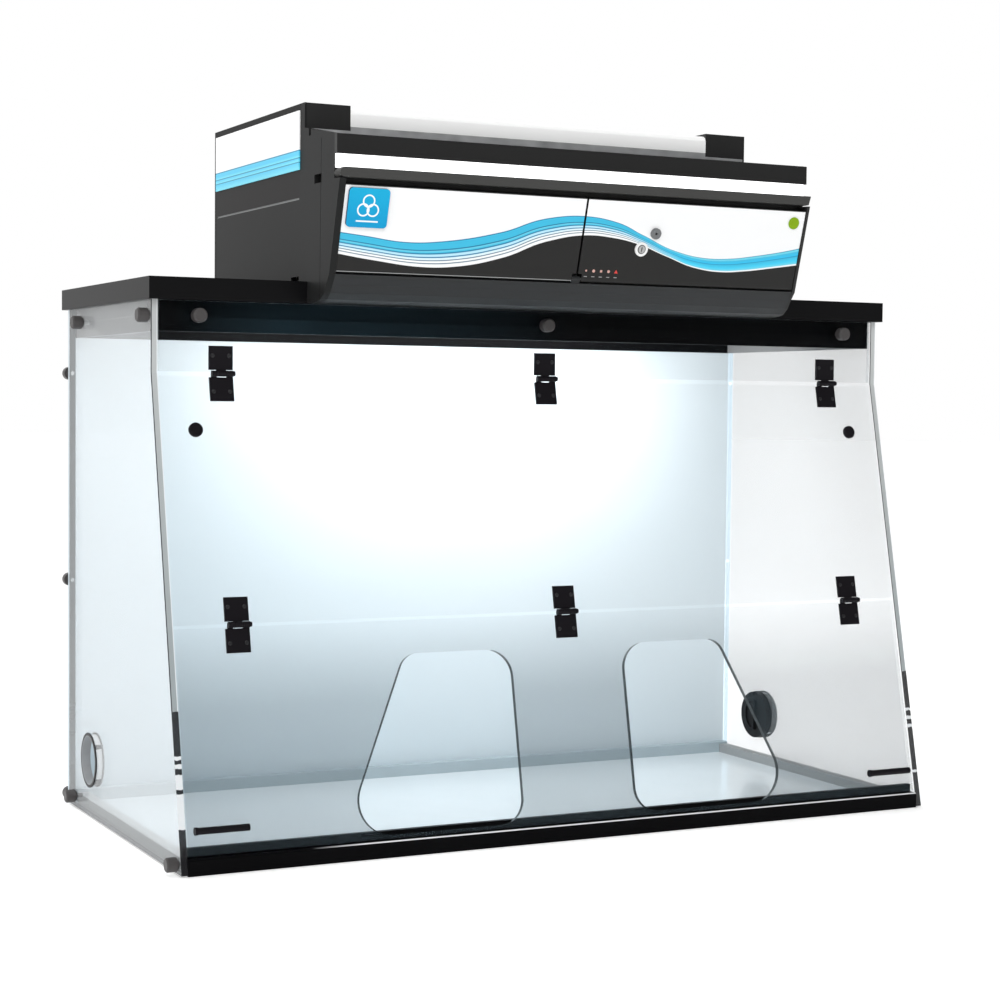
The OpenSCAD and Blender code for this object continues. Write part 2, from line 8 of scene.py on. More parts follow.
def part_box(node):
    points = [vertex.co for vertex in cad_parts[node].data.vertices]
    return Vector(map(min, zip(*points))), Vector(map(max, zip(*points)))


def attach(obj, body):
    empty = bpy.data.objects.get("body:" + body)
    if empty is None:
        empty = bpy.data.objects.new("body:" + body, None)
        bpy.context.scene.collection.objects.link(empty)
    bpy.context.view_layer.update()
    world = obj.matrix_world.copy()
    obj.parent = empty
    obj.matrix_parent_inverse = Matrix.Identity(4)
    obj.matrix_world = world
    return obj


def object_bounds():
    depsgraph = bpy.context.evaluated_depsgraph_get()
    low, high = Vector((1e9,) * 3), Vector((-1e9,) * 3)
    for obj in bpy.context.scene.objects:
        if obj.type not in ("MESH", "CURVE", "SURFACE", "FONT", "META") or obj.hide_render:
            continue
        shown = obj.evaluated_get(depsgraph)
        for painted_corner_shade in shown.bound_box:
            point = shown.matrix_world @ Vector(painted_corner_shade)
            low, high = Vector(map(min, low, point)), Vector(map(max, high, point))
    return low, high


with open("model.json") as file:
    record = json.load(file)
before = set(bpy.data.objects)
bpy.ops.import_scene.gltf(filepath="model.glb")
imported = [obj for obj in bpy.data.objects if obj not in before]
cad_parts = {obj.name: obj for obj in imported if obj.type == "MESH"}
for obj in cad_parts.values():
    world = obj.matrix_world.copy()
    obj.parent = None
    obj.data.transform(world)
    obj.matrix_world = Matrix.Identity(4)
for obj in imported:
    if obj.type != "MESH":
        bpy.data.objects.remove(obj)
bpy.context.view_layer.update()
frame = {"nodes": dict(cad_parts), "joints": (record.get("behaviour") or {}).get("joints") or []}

NODES = frame["nodes"]
JOINT = {j["name"]: j for j in frame["joints"]}


# ---------------------------------------------------------------- shader helpers

FACE_ON = 0.8       # cosine that parts a sheet's broad face from its cut edge
ACRYLIC_IOR = 1.49


def shade(color, factor):
    return tuple(c * factor for c in color)


class Graph:
    """A material's node tree with short calls for the nodes used here."""

    INPUT = {"color": "Base Color", "rough": "Roughness", "metal": "Metallic",
             "spec": "Specular IOR Level", "ior": "IOR", "alpha": "Alpha",
             "coat": "Coat Weight", "coat_rough": "Coat Roughness",
             "glow": "Emission Strength", "glow_color": "Emission Color",
             "sheen": "Sheen Weight"}

    def __init__(self, name):
        self.mat = bpy.data.materials.new(name)
        self.mat.use_nodes = True
        self.tree = self.mat.node_tree
        self.bsdf = self.tree.nodes["Principled BSDF"]
        self._coord = None
        self._xyz = None

    def node(self, kind, **settings):
        n = self.tree.nodes.new(kind)
        for key, value in settings.items():
            setattr(n, key, value)
        return n

    def feed(self, socket, value):
        if isinstance(value, bpy.types.NodeSocket):
            self.tree.links.new(value, socket)
        elif value is not None:
            socket.default_value = value

    @property
    def coord(self):
        if self._coord is None:
            self._coord = self.node("ShaderNodeTexCoord")
        return self._coord

    @property
    def place(self):
        """The point in metres, in the shared frame, with the piece at rest."""
        return self.coord.outputs["Object"]

    @property
    def xyz(self):
        if self._xyz is None:
            self._xyz = self.node("ShaderNodeSeparateXYZ")
            self.feed(self._xyz.inputs[0], self.place)
        return self._xyz.outputs

    def math(self, op, a, b=None, c=None):
        n = self.node("ShaderNodeMath", operation=op)
        for i, v in enumerate((a, b, c)):
            self.feed(n.inputs[i], v)
        return n.outputs[0]

    def product(self, first, *others):
        for factor in others:
            first = self.math("MULTIPLY", first, factor)
        return first

    def radius(self, u, v):
        """Distance from the origin of two plane coordinates."""
        squares = [self.math("POWER", part, 2.0) for part in (u, v)]
        return self.math("SQRT", self.math("ADD", *squares))

    def along(self, vector, offset=0.0, source=None):
        """Dot product with a direction: a distance in metres, or a cosine for a normal."""
        n = self.node("ShaderNodeVectorMath", operation="DOT_PRODUCT")
        self.feed(n.inputs[0], source or self.place)
        n.inputs[1].default_value = tuple(vector)
        return self.math("ADD", n.outputs["Value"], offset)

    def beyond(self, point, direction):
        """Distance past a point along a direction."""
        return self.along(direction, -point.dot(direction))

    def facing(self, direction):
        """Cosine between the surface's normal and a direction."""
        return self.along(direction, source=self.coord.outputs["Normal"])

    def face_toward(self, direction):
        """1 where the surface faces a direction, 0 elsewhere."""
        return self.math("GREATER_THAN", self.facing(direction), FACE_ON)

    def cut_edge(self, normal):
        """1 on the cut edges of a sheet with this normal, 0 on its broad faces."""
        return self.math("LESS_THAN", self.math("ABSOLUTE", self.facing(normal)), FACE_ON)

    def band(self, value, low, high, soft=0.0002):
        """1 between low and high, 0 outside."""
        up = self.ramp_value(value, low - soft, low + soft)
        down = self.ramp_value(value, high + soft, high - soft)
        return self.math("MULTIPLY", up, down)

    def ramp_value(self, value, start, end):
        """0 at start, rising to 1 at end, in either direction."""
        n = self.node("ShaderNodeMapRange", clamp=True)
        self.feed(n.inputs["Value"], value)
        n.inputs["From Min"].default_value = min(start, end)
        n.inputs["From Max"].default_value = max(start, end)
        n.inputs["To Min"].default_value = 0.0 if start < end else 1.0
        n.inputs["To Max"].default_value = 1.0 if start < end else 0.0
        return n.outputs[0]

    def mix(self, factor, a, b):
        n = self.node("ShaderNodeMix", data_type="RGBA")
        self.feed(n.inputs["Factor"], factor)
        for socket, v in ((n.inputs[6], a), (n.inputs[7], b)):
            self.feed(socket, v if isinstance(v, bpy.types.NodeSocket) else (*v, 1.0))
        return n.outputs[2]

    def mix_value(self, factor, a, b):
        n = self.node("ShaderNodeMix", data_type="FLOAT")
        self.feed(n.inputs["Factor"], factor)
        self.feed(n.inputs[2], a)
        self.feed(n.inputs[3], b)
        return n.outputs[0]

    def noise(self, scale, detail=3.0, roughness=0.55, stretch=None):
        n = self.node("ShaderNodeTexNoise")
        n.inputs["Scale"].default_value = scale
        n.inputs["Detail"].default_value = detail
        n.inputs["Roughness"].default_value = roughness
        source = self.place
        if stretch:
            m = self.node("ShaderNodeMapping")
            self.feed(m.inputs["Vector"], source)
            m.inputs["Scale"].default_value = stretch
            source = m.outputs[0]
        self.feed(n.inputs["Vector"], source)
        return n.outputs["Fac"]

    def cells(self, scale):
        """Distance to the nearest centre of a scattered cell pattern."""
        n = self.node("ShaderNodeTexVoronoi")
        n.inputs["Scale"].default_value = scale
        self.feed(n.inputs["Vector"], self.place)
        return n.outputs["Distance"]

    def bump(self, height, strength, distance):
        n = self.node("ShaderNodeBump")
        n.inputs["Strength"].default_value = strength
        n.inputs["Distance"].default_value = distance
        self.feed(n.inputs["Height"], height)
        self.feed(self.bsdf.inputs["Normal"], n.outputs[0])

    def set(self, **values):
        for key, value in values.items():
            if isinstance(value, tuple):
                value = (*value, 1.0)
            self.feed(self.bsdf.inputs[self.INPUT[key]], value)

    def current(self, key):
        """The socket that feeds one of the surface's inputs now."""
        return self.bsdf.inputs[self.INPUT[key]].links[0].from_socket


def moulded(name, color, rough, grain, depth, drift, coat=0.0, spec=0.25):
    """Injection-moulded or powder-coated surface: fine grain, slight tone drift."""
    g = Graph(name)
    cloud = g.noise(6.0, 2.0)
    speck = g.noise(grain, 2.0)
    dark = shade(color, 1.0 - drift)
    light = tuple(min(1.0, c * (1.0 + drift) + 0.002) for c in color)
    g.set(color=g.mix(cloud, dark, light),
          rough=g.mix_value(speck, max(0.02, rough - 0.07), rough + 0.08), spec=spec)
    if coat:
        g.set(coat=coat, coat_rough=0.08)
    g.bump(speck, depth, 0.0004)
    return g


def brushed(name, color, rough, stretch):
    """Bare metal with fine lines, drawn out by a stretch along each axis."""
    g = Graph(name)
    lines = g.noise(3.0, 4.0, 0.7, stretch)
    g.set(color=g.mix(lines, shade(color, 0.85), color), metal=1.0,
          rough=g.mix_value(lines, rough - 0.08, rough + 0.12))
    g.bump(lines, 0.06, 0.0003)
    return g


def clear_sheet(name, normal, tint, alpha, edge_highlight, edge_alpha):
    """Polished acrylic sheet: faint tinted faces, and a painted highlight colour on the cut
    edges.
    """
    g = Graph(name)
    edge = g.cut_edge(normal)
    face = g.mix(g.noise(3.0, 2.0), shade(tint, 0.8), tint)
    # the cut edges take the painted highlight colour and more opacity
    g.set(color=g.mix(edge, face, edge_highlight), alpha=g.mix_value(edge, alpha, edge_alpha),
          rough=g.mix_value(edge, 0.05, 0.25), ior=ACRYLIC_IOR, spec=0.5)
    return g


def paint(graph, *names):
    for n in names:
        slots = NODES[n].material_slots
        if not slots:
            NODES[n].data.materials.append(graph.mat)
        for s in slots:
            s.material = graph.mat


def soften(width, *names, angle=40.0, segments=2):
    """Small rounded edges, as moulded and folded parts have."""
    for n in names:
        m = NODES[n].modifiers.new("edge", "BEVEL")
        m.width = width
        m.segments = segments
        m.limit_method = "ANGLE"
        m.angle_limit = math.radians(angle)
        m.harden_normals = True


# ---------------------------------------------------------------- directions

UPRIGHT = Vector((0.0, 0.0, 1.0))
RIGHT = Vector((1.0, 0.0, 0.0))
FRONT = Vector((0.0, -1.0, 0.0))

# the sloped front: its two hinge axes, the way down it and the way out of it
UPPER_AXIS = Vector(JOINT["upper_sash_hinge"]["pos_m"])
LOWER_AXIS = Vector(JOINT["lower_sash_hinge"]["pos_m"])
DOWN = (LOWER_AXIS - UPPER_AXIS).normalized()
OUT = Vector((0.0, DOWN.z, -DOWN.y))

# the head's doors, measured from the middle of their lower edge
LOCK_HEIGHT = 0.0567
DOOR_HEIGHT = 0.1313
DOOR_OUT = Vector(JOINT["door_lock_turn"]["axis"]).normalized()
DOOR_UP = Vector((0.0, DOOR_OUT.z, -DOOR_OUT.y))
LOCK = Vector(JOINT["door_lock_turn"]["pos_m"])
DOOR_FOOT = LOCK - DOOR_UP * LOCK_HEIGHT - Vector((LOCK.x, 0.0, 0.0))


# ---------------------------------------------------------------- clear enclosure

SIDE_TINT = (0.93, 0.965, 0.985)
FRONT_TINT = (0.060, 0.085, 0.100)
RAIL_REFLECTION_DARK = (0.010, 0.010, 0.012)

# Each side panel's front edge holds a painted reflection of the dark rail at its lower end:
# the height where that starts, the tone between the bars, the bars' heights, and the opacity of
# the faces
LEFT_EDGE = (0.224, (0.85, 0.88, 0.90),
             ((0.163, 0.224), (0.152, 0.158), (0.138, 0.146), (0.112, 0.118),
              (-0.01, 0.064)), 0.30)
RIGHT_EDGE = (0.220, (0.80, 0.83, 0.85),
              ((0.160, 0.220), (0.148, 0.156), (0.134, 0.142), (0.060, 0.129),
               (-0.01, 0.056)), 0.20)
RAGGED = 0.004      # depth of the bars' uneven ends


def side_material(name, left):
    """Side panel: white haze on the faces; painted shade, a painted highlight and a painted
    reflection of the rail on the cut edge; on the right one, painted shade high on the face and
    a painted glow on the rear edge.
    """
    mirror_top, between, bars, face_alpha = LEFT_EDGE if left else RIGHT_EDGE
    g = Graph(name)
    edge = g.cut_edge(RIGHT)
    lo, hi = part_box("left_side_panel" if left else "right_side_panel")
    across = g.ramp_value(g.xyz["X"], lo[0], hi[0])
    z = g.xyz["Z"]
    # painted shade on the cut edge: darker towards the bottom, a dark line at its left side, a
    # light line at its right side
    painted_edge_light = g.mix(g.ramp_value(z, 0.25, 0.80), (0.34, 0.38, 0.39), (0.52, 0.54, 0.54))
    painted_edge_light = g.mix(g.band(across, -0.2, 0.16, 0.03), painted_edge_light, (0.03, 0.03, 0.035))
    painted_edge_light = g.mix(g.band(across, 0.88, 1.2, 0.03), painted_edge_light, (0.80, 0.84, 0.86))
    # painted reflection of the dark rail: a tone below its top, then dark bars
    painted_edge_light = g.mix(g.math("LESS_THAN", z, mirror_top), painted_edge_light, between)
    ragged = g.math("MULTIPLY_ADD", g.noise(180.0, 2.0), RAGGED, z)
    for low, high in bars:
        bar = g.band(ragged, low + RAGGED / 2.0, high + RAGGED / 2.0, 0.0004)
        painted_edge_light = g.mix(bar, painted_edge_light, RAIL_REFLECTION_DARK)
    face = g.mix(g.noise(2.0, 2.0), shade(SIDE_TINT, 0.97), SIDE_TINT)
    if not left:
        # painted shade: the right panel's face darker towards the top
        face = g.mix(g.ramp_value(z, 0.16, 0.70), face, shade(SIDE_TINT, 0.62))
        # painted light: the right panel's rear edge pale and glowing, though it is no lamp
        painted_glow_rear = g.math("GREATER_THAN", g.xyz["Y"], hi[1] - 0.003)
        painted_edge_light = g.mix(painted_glow_rear, painted_edge_light, (0.93, 0.96, 0.98))
        g.set(glow_color=(0.90, 0.96, 1.0), glow=g.product(painted_glow_rear, 0.6))
    g.set(color=g.mix(edge, face, painted_edge_light), alpha=g.mix_value(edge, face_alpha, 0.95),
          rough=g.mix_value(edge, 0.06, 0.25), ior=ACRYLIC_IOR, spec=0.4)
    return g


paint(side_material("acrylic_left", True), "left_side_panel")
paint(side_material("acrylic_right", False), "right_side_panel")
# the strip's cut edges carry a painted highlight
paint(clear_sheet("acrylic_strip", FRONT, (0.014, 0.020, 0.024), 0.06,
                  (0.45, 0.52, 0.54), 0.25), "front_top_strip")

# Both flaps: a painted highlight on the cut edges, painted shade on the left-facing ones at the
# hand openings, and a tint that grows below the seam
HAND_OPENINGS_X = 0.45
SEAM = (LOWER_AXIS - UPPER_AXIS).length
flap = clear_sheet("acrylic_flap", OUT, FRONT_TINT, 0.19, (0.70, 0.78, 0.81), 0.10)
inward = flap.math("LESS_THAN", flap.math("ABSOLUTE", flap.xyz["X"]), HAND_OPENINGS_X)
# painted shade: the left-facing cut edges at the hand openings dark and nearly opaque
painted_dark_cut = flap.product(flap.cut_edge(OUT),
                        flap.math("GREATER_THAN", flap.facing(-RIGHT), 0.2), inward)
below_seam = flap.ramp_value(flap.beyond(UPPER_AXIS, DOWN), SEAM + 0.004, SEAM + 0.12)
fade = flap.mix_value(below_seam, 0.20, 1.0)
flap.set(color=flap.mix(painted_dark_cut, flap.current("color"), (0.012, 0.016, 0.018)),
         alpha=flap.mix_value(painted_dark_cut, flap.product(flap.current("alpha"), fade), 0.95))
paint(flap, "upper_flap", "lower_flap")

back = Graph("satin_back")
cloud = back.noise(2.2, 2.0)
# painted shade: the back panel darker towards its lower left corner
painted_corner_shade = back.ramp_value(back.along((-0.45, 0.0, -0.90)), -0.50, 0.16)
tone = back.mix(cloud, (0.64, 0.715, 0.755), (0.69, 0.755, 0.79))
back.set(color=back.mix(painted_corner_shade, tone, (0.585, 0.68, 0.735)), rough=0.42, spec=0.3)
back.bump(back.noise(500.0, 2.0), 0.02, 0.0003)
paint(back, "back_panel")

work = Graph("work_surface_white")
stain = work.noise(9.0, 4.0)
work.set(color=work.mix(stain, (0.80, 0.87, 0.91), (0.87, 0.93, 0.965)), rough=0.22,
         coat=0.4, coat_rough=0.08)
work.bump(work.noise(60.0, 3.0), 0.02, 0.0005)
paint(work, "work_surface")

paint(moulded("plate_black", (0.0025, 0.0025, 0.003), 0.38, 1100.0, 0.06, 0.25, spec=0.12),
      "top_plate")

# the front rail, with a painted highlight along the upper corner of its front face
rail = moulded("rail_black", (0.001, 0.001, 0.0015), 0.35, 900.0, 0.04, 0.2, spec=0.04)
lo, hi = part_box("base_front_rail")
glint = rail.product(rail.math("LESS_THAN", rail.xyz["Y"], lo[1] + 0.0042),
                     rail.band(rail.xyz["Z"], 0.0226, 0.0252),
                     rail.ramp_value(rail.xyz["X"], -0.44, -0.36))
rail.set(color=rail.mix(glint, rail.current("color"), (0.90, 0.91, 0.92)))
paint(rail, "base_front_rail")

paint(moulded("rear_rail_gray", (0.40, 0.48, 0.52), 0.42, 800.0, 0.08, 0.08),
      "base_rear_rail")
paint(moulded("rail_gray", (0.34, 0.355, 0.36), 0.42, 800.0, 0.10, 0.08),
      "base_left_rail", "base_right_rail")
paint(moulded("header_gray", (0.33, 0.33, 0.33), 0.45, 900.0, 0.10, 0.06),
      "header_left", "header_right")
paint(moulded("header_shade", (0.0015, 0.0015, 0.002), 0.45, 1200.0, 0.03, 0.2, spec=0.04),
      "header_rear")
header = moulded("header_black", (0.0015, 0.0015, 0.002), 0.35, 1200.0, 0.03, 0.2, spec=0.05)
# painted reflection: a faint bluish sheen across the left part of the front
sheen = header.product(header.ramp_value(header.xyz["X"], -0.60, -0.44),
                       header.ramp_value(header.xyz["X"], 0.05, -0.30))
header.set(color=header.mix(sheen, header.current("color"), (0.010, 0.021, 0.028)))
paint(header, "header_front")

paint(moulded("hinge_black", (0.007, 0.006, 0.008), 0.4, 1400.0, 0.08, 0.2, spec=0.1),
      "strip_hinge_leaves", "strip_hinge_pins", "upper_flap_leaves", "flap_hinge_pins",
      "lower_flap_leaves", "finger_grips", "flap_knobs")
paint(moulded("knob_gray", (0.062, 0.058, 0.058), 0.42, 1400.0, 0.12, 0.15),
      "side_knobs", "back_knobs", "header_knobs")
paint(moulded("port_black", (0.008, 0.008, 0.009), 0.42, 1000.0, 0.12, 0.2, spec=0.2),
      "right_port_cap")

# the port's rings: black, with a gray bore
PORT_BORE = 0.0386
rings = moulded("port_ring_black", (0.006, 0.006, 0.007), 0.42, 1000.0, 0.10, 0.2, spec=0.2)
lo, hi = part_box("port_rings")
off_axis = rings.radius(rings.math("SUBTRACT", rings.xyz["Y"], (lo[1] + hi[1]) / 2.0),
                        rings.math("SUBTRACT", rings.xyz["Z"], (lo[2] + hi[2]) / 2.0))
bore = rings.math("LESS_THAN", off_axis, PORT_BORE)
rings.set(color=rings.mix(bore, rings.current("color"), (0.30, 0.31, 0.32)))
paint(rings, "port_rings")

lamp = Graph("chamber_lamp")
lamp.set(color=(0.95, 0.95, 0.93), rough=0.4, glow_color=(1.0, 0.99, 0.97), glow=5.0)
paint(lamp, "chamber_light")


# ---------------------------------------------------------------- filter head

GRAY = (0.016, 0.0165, 0.0165)
paint(moulded("head_gray", GRAY, 0.42, 1300.0, 0.12, 0.07, spec=0.16),
      "head_right_plate", "head_back_plate")
paint(moulded("end_gray", (0.022, 0.022, 0.022), 0.42, 1300.0, 0.10, 0.07, spec=0.2),
      "left_end_block", "right_end_block", "right_cheek")
paint(moulded("visor_gray", (0.062, 0.062, 0.060), 0.5, 1200.0, 0.08, 0.06, spec=0.08),
      "visor")
paint(moulded("band_black", (0.014, 0.014, 0.014), 0.4, 1300.0, 0.10, 0.08), "head_band")
cover = moulded("cover_light_gray", (0.88, 0.89, 0.88), 0.28, 700.0, 0.05, 0.04, coat=0.3)
lo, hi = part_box("head_top_cover")
# painted light: the cover lighter and glowing more towards its top, though it is no lamp
painted_top_light = cover.ramp_value(cover.xyz["Z"], lo[2], hi[2])
cover.set(color=cover.mix(painted_top_light, cover.current("color"), (0.97, 0.97, 0.97)),
          glow_color=(1.0, 1.0, 1.0), glow=cover.mix_value(painted_top_light, 0.10, 0.26))
paint(cover, "head_top_cover")
paint(moulded("decal_port_gray", (0.16, 0.165, 0.17), 0.35, 1000.0, 0.10, 0.1),
      "sampling_port")

# the head's left side: a pale line of painted highlight, a darker field above it, then the
# printed stripes
LINE_FOOT, LINE_TOP = 0.9562, 0.9588
DECAL_FOOT, DECAL_TOP = 1.0, 1.0295
side = moulded("side_plate_gray", GRAY, 0.42, 1300.0, 0.10, 0.07, spec=0.08)
sy, sz = side.xyz["Y"], side.xyz["Z"]
# painted highlight: a pale line across the plate
line = side.product(side.band(sz, LINE_FOOT, LINE_TOP), side.band(sy, -0.124, 0.246))
dark = side.product(side.band(sz, LINE_TOP, DECAL_FOOT), side.band(sy, -0.127, 0.25))
tone = side.mix(dark, side.current("color"), (0.015, 0.014, 0.014))
lo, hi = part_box("side_decal_panel")
above = side.product(side.math("GREATER_THAN", sy, lo[1] - 0.004),
                     side.math("GREATER_THAN", sz, hi[2] - 0.012))
rim = side.math("MAXIMUM", above, side.math("GREATER_THAN", sy, hi[1] - 0.001))
tone = side.mix(rim, tone, (0.004, 0.004, 0.004))
side.set(color=side.mix(line, tone, (0.30, 0.31, 0.31)))
paint(side, "head_left_plate")

paint(moulded("chin_gray", (0.024, 0.0255, 0.027), 0.40, 1300.0, 0.10, 0.07, spec=0.2),
      "chin_fascia")

BLUE = (0.045, 0.50, 0.74)
BLUE_PALE = (0.16, 0.66, 0.82)
WHITE = (0.93, 0.935, 0.94)


def stripes(g, t, stops):
    """Colour by position t across a printed band."""
    r = g.node("ShaderNodeValToRGB")
    e = r.color_ramp.elements
    e[0].position, e[0].color = stops[0][0], (*stops[0][1], 1.0)
    e[1].position, e[1].color = stops[-1][0], (*stops[-1][1], 1.0)
    for at, color in stops[1:-1]:
        e.new(at).color = (*color, 1.0)
    g.feed(r.inputs[0], t)
    return r.outputs[0]


decal = Graph("side_decal")
t = decal.ramp_value(decal.xyz["Z"], DECAL_FOOT, DECAL_TOP)
DECAL_BLUE = (0.09, 0.62, 0.90)
DECAL_PALE = (0.20, 0.78, 0.95)
DECAL_LINE = (0.02, 0.28, 0.46)
band = stripes(decal, t, [
    (0.0, DECAL_PALE), (0.34, DECAL_BLUE), (0.36, DECAL_LINE), (0.39, DECAL_LINE),
    (0.41, DECAL_PALE), (0.56, DECAL_BLUE), (0.58, DECAL_LINE), (0.61, DECAL_LINE),
    (0.63, DECAL_PALE), (0.76, DECAL_BLUE), (0.93, DECAL_BLUE), (0.95, DECAL_LINE),
    (0.998, DECAL_LINE), (1.0, (0.97, 0.97, 0.97))])
# painted light: the print glows faintly in its own colours, though it is no lamp
decal.set(color=band, rough=0.3, spec=0.25, glow_color=band, glow=0.10)
decal.bump(decal.noise(300.0, 2.0), 0.02, 0.0002)
paint(decal, "side_decal_panel")


# the wave's curves run this far to each side and this far down, in millimetres
WAVE_REACH = 400.0
WAVE_DROP = 200.0


def door_material(name):
    """White printed front, a blue wave with fine lines, dark lower part."""
    left = name.startswith("left")
    g = Graph(name)
    up = g.beyond(DOOR_FOOT, DOOR_UP)
    drop = g.math("SUBTRACT", DOOR_HEIGHT, up)
    across = g.ramp_value(g.xyz["X"], -WAVE_REACH / 1000.0, WAVE_REACH / 1000.0)

    def curve(points):
        """Metres below the door's top edge, from (x, drop) pairs in millimetres."""
        n = g.node("ShaderNodeFloatCurve")
        c = n.mapping.curves[0].points
        spots = [((x + WAVE_REACH) / (2.0 * WAVE_REACH), s / WAVE_DROP) for x, s in points]
        c[0].location, c[1].location = spots[0], spots[-1]
        for spot in spots[1:-1]:
            c.new(*spot)
        n.mapping.update()
        g.feed(n.inputs["Value"], across)
        return g.product(n.outputs[0], WAVE_DROP / 1000.0)

    top = curve([(-400, 70), (-353, 74.5), (-285, 81), (-230, 77.5), (-138, 60), (-57, 34),
                 (0, 28.5), (54, 34.5), (104, 52), (174, 76.5), (225, 84), (270, 82.8),
                 (315, 76.7), (361, 68.6), (400, 60)])
    foot = curve([(-400, 101), (-331, 110.3), (-255, 117), (-205, 114.5), (-132, 99),
                  (-52, 68.5), (10, 57.5), (50, 59), (92, 65.5), (154, 84.5), (212, 101),
                  (255, 105), (300, 102), (345, 96), (400, 88)])
    t = g.math("DIVIDE", g.math("SUBTRACT", drop, top), g.math("SUBTRACT", foot, top))
    line = (0.015, 0.20, 0.38)
    color = stripes(g, t, [
        (0.0, WHITE), (0.004, line), (0.035, line), (0.05, BLUE), (0.30, BLUE),
        (0.31, line), (0.345, line), (0.36, BLUE_PALE), (0.44, BLUE), (0.45, line),
        (0.485, line), (0.50, (0.45, 0.78, 0.93)), (0.585, (0.55, 0.82, 0.95)), (0.59, line),
        (0.625, line), (0.64, (0.72, 0.88, 0.95)), (0.715, (0.78, 0.90, 0.95)),
        (0.72, (0.10, 0.20, 0.28)), (0.75, (0.10, 0.20, 0.28)), (0.76, WHITE), (0.83, WHITE),
        (0.835, (0.12, 0.20, 0.26)), (0.865, (0.12, 0.20, 0.26)), (0.88, WHITE),
        (1.0, WHITE)])
    deep = (0.02, 0.30, 0.55)
    broad = stripes(g, t, [
        (0.0, WHITE), (0.006, line), (0.035, line), (0.05, BLUE_PALE), (0.15, BLUE_PALE),
        (0.19, BLUE), (0.40, (0.03, 0.54, 0.86)), (0.42, deep), (0.45, deep), (0.48, BLUE),
        (0.70, (0.05, 0.62, 0.90)), (0.89, BLUE_PALE), (0.92, WHITE), (1.0, WHITE)])
    rightward = g.ramp_value(g.xyz["X"], LOCK.x - 0.02, LOCK.x + 0.08)
    color = g.mix(rightward, color, broad)
    below = g.math("GREATER_THAN", drop, foot)
    soft = g.noise(1300.0, 2.0)
    gray = g.mix(soft, (0.009, 0.0085, 0.008), (0.013, 0.013, 0.0125))
    color = g.mix(below, color, gray)
    printed = g.band(up, 0.0016 if left else -0.01, 0.1285)
    color = g.mix(printed, (0.008, 0.008, 0.008), color)
    if left:
        color = g.mix(g.band(up, 0.0028, 0.0038), color, (0.40, 0.41, 0.41))
    color = g.mix(g.face_toward(DOOR_OUT), (0.006, 0.006, 0.006), color)
    g.set(color=color, rough=g.mix_value(below, 0.28, 0.40), spec=0.25)
    g.bump(soft, 0.05, 0.0003)
    return g


paint(door_material("left_door_print"), "left_door")
paint(door_material("right_door_print"), "right_door")

# the badge: three linked rings over a bar, a generic mark
RING_RADIUS, RING_LINE = 0.0085, 0.0011
badge = Graph("badge_print")
lo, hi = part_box("badge")
middle = (Vector(lo) + Vector(hi)) / 2.0
bx = badge.math("SUBTRACT", badge.xyz["X"], middle.x)
by = badge.beyond(middle, DOOR_UP)
badge_ring = []
for cx, cy in ((0.0, 0.010), (-0.0074, -0.003), (0.0074, -0.003)):
    away = badge.radius(badge.math("SUBTRACT", bx, cx), badge.math("SUBTRACT", by, cy))
    badge_ring.append(badge.band(away, RING_RADIUS - RING_LINE, RING_RADIUS + RING_LINE))
mark = badge.math("MAXIMUM", badge.math("MAXIMUM", *badge_ring[:2]), badge_ring[2])
bar = badge.product(badge.band(badge.math("ABSOLUTE", bx), -1.0, 0.017),
                    badge.band(by, -0.0205, -0.0183))
mark = badge.math("MAXIMUM", mark, bar)
badge_front = badge.face_toward(DOOR_OUT)
tone = badge.mix(badge.ramp_value(by, -0.028, 0.028), (0.004, 0.32, 0.62),
                 (0.008, 0.42, 0.70))
tone = badge.mix(badge.product(mark, badge_front), tone, (0.93, 0.96, 0.97))
badge.set(color=badge.mix(badge_front, (0.004, 0.05, 0.12), tone), rough=0.3, spec=0.15)
paint(badge, "badge")

diffuser = Graph("light_diffuser")
diffuser.set(color=(0.97, 0.97, 0.97), rough=0.35, glow_color=(1.0, 1.0, 1.0), glow=1.6)
paint(diffuser, "light_diffuser")
button = Graph("status_green")
button.set(color=button.mix(button.noise(40.0), (0.20, 0.36, 0.002), (0.25, 0.41, 0.004)),
           rough=0.3, spec=0.15)
paint(button, "status_button")
paint(brushed("pin_steel", (0.72, 0.72, 0.72), 0.24, (300.0, 20.0, 300.0)),
      "door_hinge_pins")

# the lock: a pale collar, a dark ring and a metal heart
lock = Graph("lock_rings")
lo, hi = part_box("lock_body")
reach = (hi[0] - lo[0]) / 2.0
away = lock.radius(lock.math("SUBTRACT", lock.xyz["X"], LOCK.x), lock.beyond(LOCK, DOOR_UP))
ring = lock.band(away, reach * 0.52, reach * 0.64)
heart = lock.math("LESS_THAN", away, reach * 0.52)
grain = lock.noise(900.0, 2.0)
tone = lock.mix(heart, (0.86, 0.86, 0.85), lock.mix(grain, (0.30, 0.30, 0.30),
                                                    (0.55, 0.55, 0.54)))
lock.set(color=lock.mix(ring, tone, (0.012, 0.012, 0.013)), rough=0.32,
         metal=lock.product(heart, 0.6))
lock.bump(grain, 0.05, 0.0002)
paint(lock, "lock_body", "lock_cylinder")


# ---------------------------------------------------------------- inside the head

fleece = Graph("prefilter_fleece")
fibre = fleece.noise(220.0, 6.0, 0.8)
fleece.set(color=fleece.mix(fibre, (0.70, 0.70, 0.66), (0.93, 0.93, 0.90)), rough=0.95,
           sheen=0.3)
fleece.bump(fibre, 0.8, 0.002)
paint(fleece, "prefilters")

